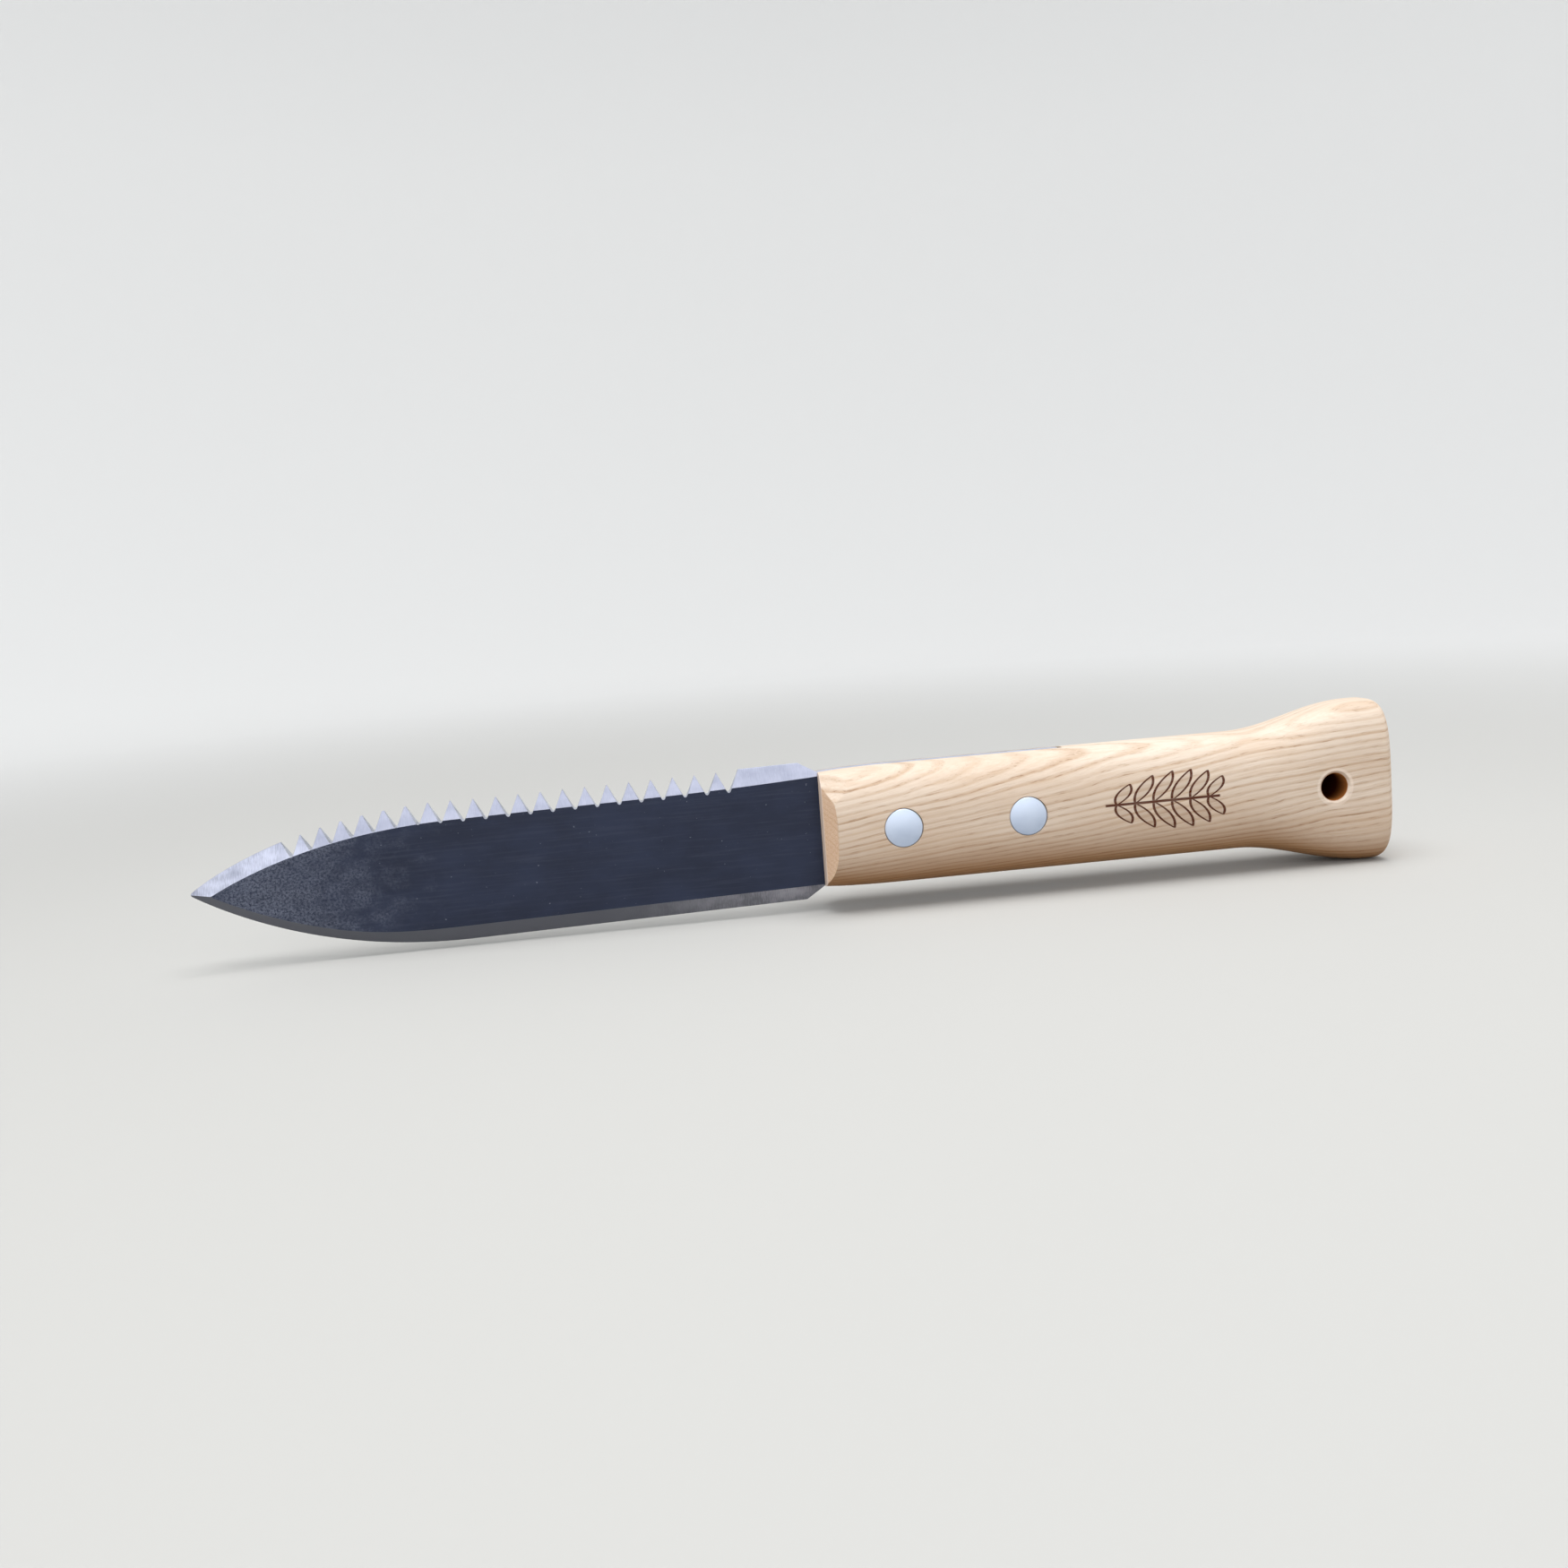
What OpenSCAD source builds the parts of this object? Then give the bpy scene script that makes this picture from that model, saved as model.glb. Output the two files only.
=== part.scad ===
// Hori hori knife: a pointed digging blade with a saw-toothed upper edge, a tang that fills a sawn slot
// in a one-piece wooden handle, and two compression rivets that hold them together.
// Millimetres. +Z up (saw edge up), -X towards the tip, +X towards the butt, Y across the thickness.
// The origin is the centre of the hang hole, on the handle's long axis and in the blade's middle plane.
// Shapes are drawn with x = 0 at the handle's front face, where the blade leaves it, and then set in place.

/* [Blade] */
// Exposed length, from the front of the handle to the tip
blade_length = 159.5; // [140:0.5:200]
// Width across both edges, behind the point
blade_width = 36.2; // [34:0.1:42]
// Thickness of the plate
blade_thickness = 3.5; // [2.5:0.1:4]
// Thickness left at the ground edges
edge_thickness = 0.5; // [0.3:0.1:1]
// Angle by which the blade leans below the handle's axis, in degrees
blade_lean = 1; // [0:0.1:2]
// How far the blade's middle line lies below the handle's axis where it leaves the handle
blade_drop = 0.3; // [0:0.1:1]
// Height of the tip above the blade's middle line
tip_rise = 1.2; // [0:0.1:3]
// Length over which the saw edge curves in to the tip
spine_point_length = 68; // [50:1:75]
// Length over which the digging edge curves in to the tip
belly_point_length = 70; // [50:1:75]
// Width of the bevel along the saw edge, in the middle of the blade
spine_bevel = 4.8; // [3:0.1:6]
// Width of the bevel along the digging edge, behind the point
belly_bevel = 3.8; // [2.6:0.1:5]
// Length of the slanted shoulders where the blade narrows to enter the handle
shoulder = 4.8; // [3:0.1:8]

/* [Saw teeth] */
// Number of V-shaped notches between the teeth
notch_count = 21; // [5:1:21]
// Distance from notch to notch, measured along the edge
notch_pitch = 5.63; // [5:0.01:5.7]
// Distance from the handle to the first notch
first_notch = 23.2; // [18:0.1:26]
// Depth of the notches behind the point
notch_depth = 5.6; // [4.5:0.1:6]
// Half of the angle of each V, in degrees
notch_half_angle = 25; // [18:0.5:25]
// Radius at the bottom of each V
notch_root_r = 0.5; // [0.3:0.1:0.7]

/* [Tang] */
// Length of the tang inside the handle
tang_length = 64.5; // [62:0.5:90]
// How far the tang's edges lie below the handle's surface
tang_inset = 0.15; // [0.1:0.05:1]

/* [Handle] */
// Length from the front face to the butt
handle_length = 152.5; // [146:0.5:170]
// Height of the grip
grip_height = 31.6; // [30:0.1:34]
// Thickness from side to side
grip_thickness = 23; // [20:0.5:26]
// Height of the flared butt
butt_height = 43.5; // [38:0.1:48]
// Distance from the front face to where the flare begins
flare_start = 111.5; // [90:0.5:118]
// Length of the level part between the flare and the butt's face
butt_land = 5; // [4:0.5:10]
// Squareness of the cross-section: 2 is an ellipse, higher is boxier
section_power = 2.5; // [2.2:0.1:4]
// The same at the butt
butt_power = 3.5; // [2.2:0.1:4]
// Radius of the butt's upper corner, seen from the side
butt_corner_top = 2.5; // [2:0.5:4]
// Radius of the butt's lower corner, seen from the side
butt_corner_bottom = 3.5; // [2:0.5:4]
// Rounding of the butt's edges, seen from above
butt_edge = 2; // [1:0.5:4]
// Slant of the butt's face, in degrees: its lower edge stands out further
butt_slant = 1.2; // [0:0.1:4]
// Depth of the chamfer at the front, across the handle
nose_chamfer_depth = 5; // [3:0.1:6]
// Length of the chamfer at the front, along the handle
nose_chamfer_length = 3.1; // [1:0.1:4]
// Distance from the handle's axis to the flats that take off the front's upper corners
nose_flat_reach = 12.4; // [12:0.1:14]
// Angle at which these flats face up from the side, in degrees
nose_flat_turn = 39; // [30:1:50]
// Slope of these flats along the handle, in degrees
nose_flat_slope = 15; // [10:1:20]

/* [Hang hole] */
// Distance from the front face to the hole
hang_x = 136; // [130:0.5:137]
// Diameter of the hole
hang_d = 7.2; // [5:0.1:9]
// Width of the small chamfer at each mouth
hang_chamfer = 0.7; // [0.4:0.1:1.5]

/* [Rivets] */
// Distance from the front face to the front rivet
front_rivet_x = 20; // [16:0.5:24]
// Distance from the front face to the rear rivet
rear_rivet_x = 52.7; // [44:0.1:56]
// Diameter of the rivet heads
head_d = 10; // [9:0.1:12]
// Height of the cylindrical part of each head
head_h = 1; // [0.8:0.1:1.5]
// Height of the dome on each head
head_dome = 0.5; // [0.3:0.1:0.8]
// Outer diameter of the tube half
tube_d = 6; // [5.6:0.1:6.5]
// Diameter of the stem half
stem_d = 4; // [3.6:0.1:4.2]

/* [Hidden] */

// How bluntly the two edges curve in to the tip, and how full each of them stays on the way
point_power = 2.2;
spine_fullness = 0.88;
belly_fullness = 0.95;
// Share of each bevel's width that is lost on the way to the tip
spine_bevel_loss = 0.14;
spine_bevel_run = 70;
belly_bevel_loss = 0.29;
// Share of the saw bevel's width that is lost on the way to the handle, and over what length
heel_bevel_loss = 0.2;
heel_bevel_run = 45;
// Share of the notches' depth that is lost near the tip, and where that happens
notch_loss = 0.18;
notch_loss_start = 45;
notch_loss_run = 30;
// How strongly the notches close up where the edge curves
notch_crowding = 4.5;
// Share of the edge's slope that each notch follows
notch_turn = 0.2;
// Least height of the blade's flats, where the bevels run into each other at the tip
flat_min = 0.1;
// How far the tip stands out past the first cross-section
tip_nose = 0.2;

// Gap between neighbouring pieces
gap = 0.05;
// Gap around the rivet heads
head_gap = 0.15;
// How far a cutter runs past the surface that it cuts
over = 1;
// How far one piece's parts run into each other where they join
lap = 0.5;

half_thick = blade_thickness / 2;
half_edge = edge_thickness / 2;
half_width = blade_width / 2;
grip_half = grip_height / 2;
butt_half = butt_height / 2;
side = grip_thickness / 2;

// The handle is a little slimmer at its front edge, over a short length
nose_relief = 0.7;
nose_run = 30;
flare_end = handle_length - butt_land;

// Seat of the rivet heads: their rims lie a little below the handle's sides
rim_depth = 0.25;
head_seat = side - rim_depth - head_h;
head_r = head_d / 2;
dome_r = (head_r * head_r + head_dome * head_dome) / (2 * head_dome);
// Metal left between the tube's bore and its head
tube_web = 2;
// Distance by which the tube and the stem stop short of each other's ends
rivet_play = 0.5;

// ---- Shared shapes ----

// Smooth step from 0 to 1
function ease(t) = (1 - cos(180 * max(0, min(1, t)))) / 2;

// Closed skin through rings of points that follow one another along X, with a point closing each end
module loft(rings, first_end, last_end) {
    n = len(rings[0]);
    last = len(rings) - 1;
    tip = n * len(rings);
    skin = [
        for (i = [0 : last - 1])
            for (j = [0 : n - 1])
                let (a = i * n + j, b = i * n + (j + 1) % n)
                    each [[a, b, b + n], [a, b + n, a + n]]
    ];
    first_cap = [for (j = [0 : n - 1]) [tip, (j + 1) % n, j]];
    last_cap = [for (j = [0 : n - 1]) [tip + 1, last * n + j, last * n + (j + 1) % n]];
    polyhedron(
        points = concat([for (ring = rings) each ring], [first_end, last_end]),
        faces = concat(skin, first_cap, last_cap),
        convexity = 10
    );
}

// An XZ outline made into a plate of the given thickness, centred on the blade's plane
module plate(thickness) {
    rotate([90, 0, 0])
        linear_extrude(height = thickness, center = true)
            children();
}

// A round bar along Y, from one y to another
module cross_bar(d, y1, y2) {
    translate([0, y1, 0])
        rotate([-90, 0, 0])
            cylinder(d = d, h = y2 - y1, $fn = 64);
}

// ---- Blade ----

// Height of the blade's middle line, which lies below the handle's axis and leans away from it
function axis_z(x) = x * tan(blade_lean) - blade_drop;

// Share of the full width reached at a distance s behind the tip
function sweep(s, length, fullness) = pow(1 - pow(1 - min(1, s / length), point_power), fullness);

function spine_z(x) =
    axis_z(x) + tip_rise
    + (half_width - tip_rise) * sweep(x + blade_length, spine_point_length, spine_fullness);

function belly_z(x) =
    axis_z(x) + tip_rise
    - (half_width + tip_rise) * sweep(x + blade_length, belly_point_length, belly_fullness);

// Widths of the two bevels: both are narrower towards the tip, and the saw bevel towards the handle too
function spine_ground(x) =
    spine_bevel * (
        1
        - spine_bevel_loss * pow(1 - min(1, (x + blade_length) / spine_bevel_run), 2)
        - heel_bevel_loss * pow(max(0, 1 + x / heel_bevel_run), 2)
    );

function belly_ground(x) =
    belly_bevel * (1 - belly_bevel_loss * ease(2 - 2 * (x + blade_length) / belly_point_length));

// Cross-section of the blade at x. Near the tip the bevels meet before they reach full thickness.
function blade_ring(x) =
    let (
        top = spine_z(x),
        bottom = belly_z(x),
        top_bevel = spine_ground(x),
        bottom_bevel = belly_ground(x),
        reach = min(1, (top - bottom - flat_min) / (top_bevel + bottom_bevel)),
        y = half_edge + (half_thick - half_edge) * reach,
        upper = top - top_bevel * reach,
        lower = bottom + bottom_bevel * reach
    )
    [
        [x, -half_edge, top],
        [x, half_edge, top],
        [x, y, upper],
        [x, y, lower],
        [x, half_edge, bottom],
        [x, -half_edge, bottom],
        [x, -y, lower],
        [x, -y, upper],
    ];

module ground_blade() {
    steps = 30;
    point = max(spine_point_length, belly_point_length);
    heel_steps = 6;
    stations = concat(
        [for (i = [1 : steps]) point * pow(i / steps, 1.5) - blade_length],
        [-heel_bevel_run],
        [for (i = [1 : heel_steps]) -heel_bevel_run * (1 - i / heel_steps)],
        [lap]
    );
    rings = [for (x = stations) blade_ring(x)];
    loft(
        rings,
        [stations[0] - tip_nose, 0, axis_z(-blade_length) + tip_rise],
        [lap, 0, 0]
    );
}

// Slope of the saw edge, in degrees
function spine_slope(x) = atan(spine_z(x + 0.5) - spine_z(x - 0.5));

// Lean of each V: square to the straight part of the edge, and turned a little with the curved part
function notch_lean(x) = blade_lean + (spine_slope(x) - blade_lean) * notch_turn;

// Place of each notch, stepping along the edge towards the tip; the notches close up as the edge curves
function notch_x(k) =
    k == 0
        ? -first_notch
        : let (x = notch_x(k - 1)) x - notch_pitch * pow(cos(spine_slope(x)), notch_crowding);

// The notches are a little shallower near the tip
function depth_at(x) =
    notch_depth * (1 - notch_loss * ease(1 - (x + blade_length - notch_loss_start) / notch_loss_run));

// A V with a round bottom; its origin is the centre of the round
module notch_outline() {
    height = notch_depth + over;
    mouth = notch_root_r * cos(notch_half_angle) + height * tan(notch_half_angle);
    side_x = notch_root_r * cos(notch_half_angle);
    side_z = -notch_root_r * sin(notch_half_angle);
    circle(r = notch_root_r, $fn = 32);
    polygon([
        [-side_x, side_z],
        [side_x, side_z],
        [mouth, side_z + height],
        [-mouth, side_z + height],
    ]);
}

// Cuts the corner off one side of the blade where it enters the handle
module shoulder_cut(side_sign, edge) {
    neck = grip_z(0) - tang_inset;
    rise = abs(edge) - neck;
    plate(blade_thickness + 2 * over)
        scale([1, side_sign])
            polygon([
                [0, neck],
                [-2 * shoulder, neck + 2 * rise],
                [over, neck + 2 * rise],
                [over, neck],
            ]);
}

// Full-height tang that follows the handle's top and bottom
module tang() {
    stations = [0, 2, 5, 10, nose_run, tang_length];
    top = [for (x = stations) [x, grip_z(x) - tang_inset]];
    bottom = [for (i = [len(stations) - 1 : -1 : 0]) [stations[i], -top[i][1]]];
    plate(blade_thickness)
        polygon(concat(top, bottom));
}

module blade() {
    color("#3b404c")
        translate([-hang_x, 0, 0])
            difference() {
                union() {
                    difference() {
                        ground_blade();
                        shoulder_cut(1, spine_z(-shoulder));
                        shoulder_cut(-1, belly_z(-shoulder));
                    }
                    tang();
                }
                for (k = [0 : notch_count - 1])
                    translate([notch_x(k), 0, spine_z(notch_x(k)) - depth_at(notch_x(k)) + notch_root_r])
                        plate(blade_thickness + 2 * over)
                            rotate(notch_lean(notch_x(k)))
                                notch_outline();
                for (x = [front_rivet_x, rear_rivet_x])
                    translate([x, 0, 0])
                        cross_bar(tube_d + 2 * gap, -blade_thickness, blade_thickness);
            }
}

// ---- Handle ----

// Half of the handle's height at x, before its butt is rounded
function grip_z(x) =
    grip_half
    - nose_relief * pow(1 - min(1, x / nose_run), 4)
    + (butt_half - grip_half) * ease((x - flare_start) / (flare_end - flare_start));

// How far a rounding of radius r at the butt has drawn the surface in at x
function drawn_in(x, r) =
    let (t = max(0, (x - handle_length) / r + 1))
        r * (1 - sqrt(max(0, 1 - t * t)));

// Point of a boxy ellipse, where c is the cosine or the sine
function boxy(half, c, power) = half * sign(c) * pow(abs(c), 2 / power);

// Cross-section of the handle at x. The butt's face is slanted.
function handle_ring(x) =
    let (
        half_y = side - drawn_in(x, butt_edge),
        top = grip_z(x) - drawn_in(x, butt_corner_top),
        bottom = grip_z(x) - drawn_in(x, butt_corner_bottom),
        share = ease((x - flare_start) / (handle_length - flare_start)),
        power = section_power + (butt_power - section_power) * share
    )
    [
        for (a = [0 : 7.5 : 352.5])
            let (y = boxy(half_y, cos(a), power), z = boxy(a < 180 ? top : bottom, sin(a), power))
                [x - share * z * tan(butt_slant), y, z]
    ];

module handle_body() {
    flare_steps = 16;
    corner = max(butt_edge, butt_corner_top, butt_corner_bottom);
    stations = concat(
        [0, 1, 2.5, 5, 10, nose_run],
        [for (i = [0 : flare_steps]) flare_start + (flare_end - flare_start) * i / flare_steps],
        [for (a = [10 : 10 : 90]) handle_length - corner * (1 - sin(a))]
    );
    loft(
        [for (x = stations) handle_ring(x)],
        [0, 0, 0],
        [handle_length, 0, 0]
    );
}

// Slanting cut that takes off the front corner of one side
module nose_cut(side_sign) {
    scale([1, side_sign, 1])
        linear_extrude(height = 2 * butt_half, center = true)
            polygon([
                [-nose_chamfer_length, side - 2 * nose_chamfer_depth],
                [2 * nose_chamfer_length, side + nose_chamfer_depth],
                [-nose_chamfer_length, side + nose_chamfer_depth],
            ]);
}

// Flat that takes off the front's upper corner on one side, running out along the handle
module nose_flat_cut(side_sign) {
    scale([1, side_sign, 1])
        rotate([nose_flat_turn, 0, 0])
            translate([0, nose_flat_reach, 0])
                rotate([0, 0, nose_flat_slope])
                    translate([-side, 0, -side])
                        cube([3 * side, side, 2 * side]);
}

// Small cone at one mouth of the hang hole
module hang_mouth(side_sign) {
    mouth_d = hang_d + 2 * (hang_chamfer + over);
    rotate([-90 * side_sign, 0, 0])
        translate([0, 0, side - hang_chamfer])
            cylinder(d1 = hang_d, d2 = mouth_d, h = hang_chamfer + over, $fn = 64);
}

module handle() {
    slot = blade_thickness + 2 * gap;
    color("#dcc19a")
        translate([-hang_x, 0, 0])
            difference() {
                handle_body();
                for (side_sign = [-1, 1]) {
                    nose_cut(side_sign);
                    nose_flat_cut(side_sign);
                }
                translate([-over, -slot / 2, -butt_half])
                    cube([over + tang_length + over, slot, 2 * butt_half]);
                for (x = [front_rivet_x, rear_rivet_x])
                    translate([x, 0, 0]) {
                        cross_bar(tube_d + 2 * gap, -side - over, side + over);
                        cross_bar(head_d + 2 * head_gap, head_seat, side + over);
                        cross_bar(head_d + 2 * head_gap, -side - over, -head_seat);
                    }
                translate([hang_x, 0, 0]) {
                    cross_bar(hang_d, -side - over, side + over);
                    hang_mouth(1);
                    hang_mouth(-1);
                }
            }
}

// ---- Rivets ----

// Low-domed head that stands on its seat
module rivet_head() {
    intersection() {
        cylinder(d = head_d, h = head_h + head_dome, $fn = 96);
        translate([0, 0, head_h + head_dome - dome_r])
            sphere(r = dome_r, $fn = 96);
    }
}

// Half with the solid shank; its head is on the +Y side
module rivet_stem(x) {
    reach = head_seat - tube_web - rivet_play;
    color("#c3ccd6")
        translate([x - hang_x, 0, 0]) {
            translate([0, head_seat, 0])
                rotate([-90, 0, 0])
                    rivet_head();
            cross_bar(stem_d, -reach, head_seat + lap);
        }
}

// Half with the hollow shank; its head is on the -Y side
module rivet_tube(x) {
    reach = head_seat - rivet_play;
    color("#c3ccd6")
        translate([x - hang_x, 0, 0]) {
            translate([0, -head_seat, 0])
                rotate([90, 0, 0])
                    rivet_head();
            difference() {
                cross_bar(tube_d, -head_seat - lap, reach);
                cross_bar(stem_d + 2 * gap, -head_seat + tube_web, reach + over);
            }
        }
}

blade();
handle();
rivet_stem(front_rivet_x);  // front_rivet_stem
rivet_tube(front_rivet_x);  // front_rivet_tube
rivet_stem(rear_rivet_x);  // rear_rivet_stem
rivet_tube(rear_rivet_x);  // rear_rivet_tube
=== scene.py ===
import math

import bmesh
import bpy
from mathutils import Matrix, Quaternion, Vector


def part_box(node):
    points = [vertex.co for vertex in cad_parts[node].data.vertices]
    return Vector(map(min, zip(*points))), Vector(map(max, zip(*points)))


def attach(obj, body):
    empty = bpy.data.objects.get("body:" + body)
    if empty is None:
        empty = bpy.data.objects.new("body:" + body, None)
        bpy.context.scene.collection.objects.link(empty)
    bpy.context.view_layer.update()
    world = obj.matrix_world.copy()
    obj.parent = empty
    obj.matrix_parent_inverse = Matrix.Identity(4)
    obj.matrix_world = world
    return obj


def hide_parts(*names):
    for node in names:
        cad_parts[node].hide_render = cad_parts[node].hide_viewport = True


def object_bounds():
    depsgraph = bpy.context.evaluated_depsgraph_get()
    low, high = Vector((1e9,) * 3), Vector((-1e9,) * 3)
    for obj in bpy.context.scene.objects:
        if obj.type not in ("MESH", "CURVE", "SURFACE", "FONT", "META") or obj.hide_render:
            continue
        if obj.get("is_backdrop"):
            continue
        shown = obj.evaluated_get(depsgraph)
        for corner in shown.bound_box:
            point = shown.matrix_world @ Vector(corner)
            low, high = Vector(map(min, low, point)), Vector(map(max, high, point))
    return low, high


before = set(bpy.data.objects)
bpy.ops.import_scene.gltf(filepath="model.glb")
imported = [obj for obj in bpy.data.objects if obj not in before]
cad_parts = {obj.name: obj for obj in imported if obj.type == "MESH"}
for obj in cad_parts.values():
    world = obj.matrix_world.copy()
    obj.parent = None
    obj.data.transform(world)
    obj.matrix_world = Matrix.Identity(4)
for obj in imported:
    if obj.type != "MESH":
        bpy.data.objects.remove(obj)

CAD_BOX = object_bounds()

# The knife is drawn in millimetres. The handle's front face is at x = 0, the tip at -X and the saw edge up.
# to_frame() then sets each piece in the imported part's frame, in metres.

MM = 0.001
HANDLE_LOW, HANDLE_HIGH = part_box("handle")
BLADE_LOW, BLADE_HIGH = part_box("blade")
FRONT = HANDLE_LOW.x / MM

# Handle
HANDLE_LENGTH = 152.5
SIDE = HANDLE_HIGH.y / MM
BUTT_HALF = HANDLE_HIGH.z / MM
GRIP_HALF = 15.8
NOSE_RELIEF = 0.7
NOSE_RUN = 30
FLARE_START = 111.5
BUTT_CORNER_TOP = 2.5
BUTT_CORNER_BOTTOM = 3.5
BUTT_EDGE = 2
BUTT_SLANT = math.radians(1.2)
FLARE_END = HANDLE_LENGTH - 5
SECTION_POWER = 2.5
BUTT_POWER = 3.5
NOSE_CHAMFER_DEPTH = 5
NOSE_CHAMFER_LENGTH = 3.1
NOSE_FLAT_REACH = 12.4
NOSE_FLAT_TURN = math.radians(39)
NOSE_FLAT_SLOPE = math.radians(15)

# Hang hole: its centre is the frame's origin
HANG_X = -FRONT
HANG_R = 3.6
HANG_CHAMFER = 0.7

# Blade
BLADE_THICKNESS = (BLADE_HIGH.y - BLADE_LOW.y) / MM
EDGE_THICKNESS = 0.5
TIP_NOSE = 0.2
BLADE_LENGTH = 159.5
HALF_WIDTH = 18.1
BLADE_LEAN = math.radians(1)
BLADE_DROP = 0.3
TIP_RISE = 1.2
SPINE_POINT_LENGTH = 68
BELLY_POINT_LENGTH = 70
POINT_POWER = 2.2
SPINE_FULLNESS = 0.88
BELLY_FULLNESS = 0.95
SPINE_BEVEL = 4.8
SPINE_BEVEL_LOSS = 0.14
SPINE_BEVEL_RUN = 70
HEEL_BEVEL_LOSS = 0.2
HEEL_BEVEL_RUN = 45
BELLY_BEVEL = 3.8
BELLY_BEVEL_LOSS = 0.29
FLAT_MIN = 0.1
SHOULDER = 4.8

# Saw teeth
NOTCH_COUNT = 21
NOTCH_PITCH = 5.63
FIRST_NOTCH = 23.2
NOTCH_DEPTH = 5.6
NOTCH_HALF_ANGLE = math.radians(25)
NOTCH_ROOT_R = 0.5
NOTCH_LOSS = 0.18
NOTCH_LOSS_START = 45
NOTCH_LOSS_RUN = 30
NOTCH_CROWDING = 4.5
NOTCH_TURN = 0.2

# Tang and rivets
TANG_LENGTH = 64.5
TANG_INSET = 0.15
RIVETS = {
    "front": sum(p.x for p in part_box("front_rivet_stem")) / 2 / MM - FRONT,
    "rear": sum(p.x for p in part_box("rear_rivet_stem")) / 2 / MM - FRONT,
}
HEAD_R = 5
HEAD_H = 1
HEAD_DOME = 0.5
RIM_DEPTH = 0.25
HEAD_SEAT = SIDE - RIM_DEPTH - HEAD_H
TUBE_R = 3
STEM_R = 2
TUBE_WEB = 2
RIVET_PLAY = 0.5
GAP = 0.05
HEAD_GAP = 0.06
OVER = 1

# The burnt leaf mark on the near side of the handle
MARK_X = 88.7
MARK_Z = 0.7
MARK_HALF = 15.5


# ---- Curves shared by the shapes ----

def ease(t):
    """Smooth step from 0 to 1."""
    return (1 - math.cos(math.pi * min(1, max(0, t)))) / 2


def axis_z(x):
    """Height of the blade's middle line, which leans below the handle's axis."""
    return x * math.tan(BLADE_LEAN) - BLADE_DROP


def sweep(s, length, fullness):
    """Share of the full width that an edge has reached at s behind the tip."""
    return (1 - (1 - min(1, s / length)) ** POINT_POWER) ** fullness


def spine_z(x):
    share = sweep(x + BLADE_LENGTH, SPINE_POINT_LENGTH, SPINE_FULLNESS)
    return axis_z(x) + TIP_RISE + (HALF_WIDTH - TIP_RISE) * share


def belly_z(x):
    share = sweep(x + BLADE_LENGTH, BELLY_POINT_LENGTH, BELLY_FULLNESS)
    return axis_z(x) + TIP_RISE - (HALF_WIDTH + TIP_RISE) * share


def spine_ground(x):
    to_tip = 1 - min(1, (x + BLADE_LENGTH) / SPINE_BEVEL_RUN)
    to_heel = max(0, 1 + x / HEEL_BEVEL_RUN)
    return SPINE_BEVEL * (1 - SPINE_BEVEL_LOSS * to_tip ** 2 - HEEL_BEVEL_LOSS * to_heel ** 2)


def belly_ground(x):
    loss = BELLY_BEVEL_LOSS * ease(2 - 2 * (x + BLADE_LENGTH) / BELLY_POINT_LENGTH)
    return BELLY_BEVEL * (1 - loss)


def grip_z(x):
    """Half of the handle's height at x, before its butt is rounded."""
    relief = NOSE_RELIEF * (1 - min(1, x / NOSE_RUN)) ** 4
    flare = (BUTT_HALF - GRIP_HALF) * ease((x - FLARE_START) / (FLARE_END - FLARE_START))
    return GRIP_HALF - relief + flare


# ---- Mesh tools ----

def solid(name, points, faces):
    """A mesh object drawn in the knife's millimetres."""
    mesh = bpy.data.meshes.new(name)
    mesh.from_pydata(points, [], faces)
    mesh.update()
    piece = bpy.data.objects.new(name, mesh)
    bpy.context.scene.collection.objects.link(piece)
    return piece


def loft(name, rings, first_end, last_end):
    """A closed skin through rings set along X, with a point that closes each end."""
    n = len(rings[0])
    last = len(rings) - 1
    tip = n * len(rings)
    points = [p for ring in rings for p in ring] + [first_end, last_end]
    faces = []
    for i in range(last):
        for j in range(n):
            a, b = i * n + j, i * n + (j + 1) % n
            faces.append((a, a + n, b + n, b))
    for j in range(n):
        faces.append((tip, j, (j + 1) % n))
        faces.append((tip + 1, last * n + (j + 1) % n, last * n + j))
    return solid(name, points, faces)


def prism(name, outline, y1, y2):
    """An XZ outline made into a plate between two values of y."""
    n = len(outline)
    points = [(x, y1, z) for x, z in outline] + [(x, y2, z) for x, z in outline]
    faces = [tuple(range(n)), tuple(range(2 * n - 1, n - 1, -1))]
    for i in range(n):
        j = (i + 1) % n
        faces.append((i, i + n, j + n, j))
    return facing_out(solid(name, points, faces))


def lathe(name, x, profile, steps=96):
    """A closed solid turned about a line along Y at x. The profile's ends lie on that line."""
    inner = profile[1:-1]
    points = [(x, profile[0][1], 0), (x, profile[-1][1], 0)]
    for radius, y in inner:
        for k in range(steps):
            a = 2 * math.pi * k / steps
            points.append((x + radius * math.cos(a), y, radius * math.sin(a)))
    faces = []
    for k in range(steps):
        m = (k + 1) % steps
        faces.append((0, 2 + k, 2 + m))
        base = 2 + (len(inner) - 1) * steps
        faces.append((1, base + m, base + k))
        for row in range(len(inner) - 1):
            base = 2 + row * steps
            faces.append((base + k, base + steps + k, base + steps + m, base + m))
    return facing_out(solid(name, points, faces))


def facing_out(piece):
    """Turns the faces of a closed mesh outwards."""
    shape = bmesh.new()
    shape.from_mesh(piece.data)
    bmesh.ops.recalc_face_normals(shape, faces=shape.faces)
    shape.to_mesh(piece.data)
    shape.free()
    return piece


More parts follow.
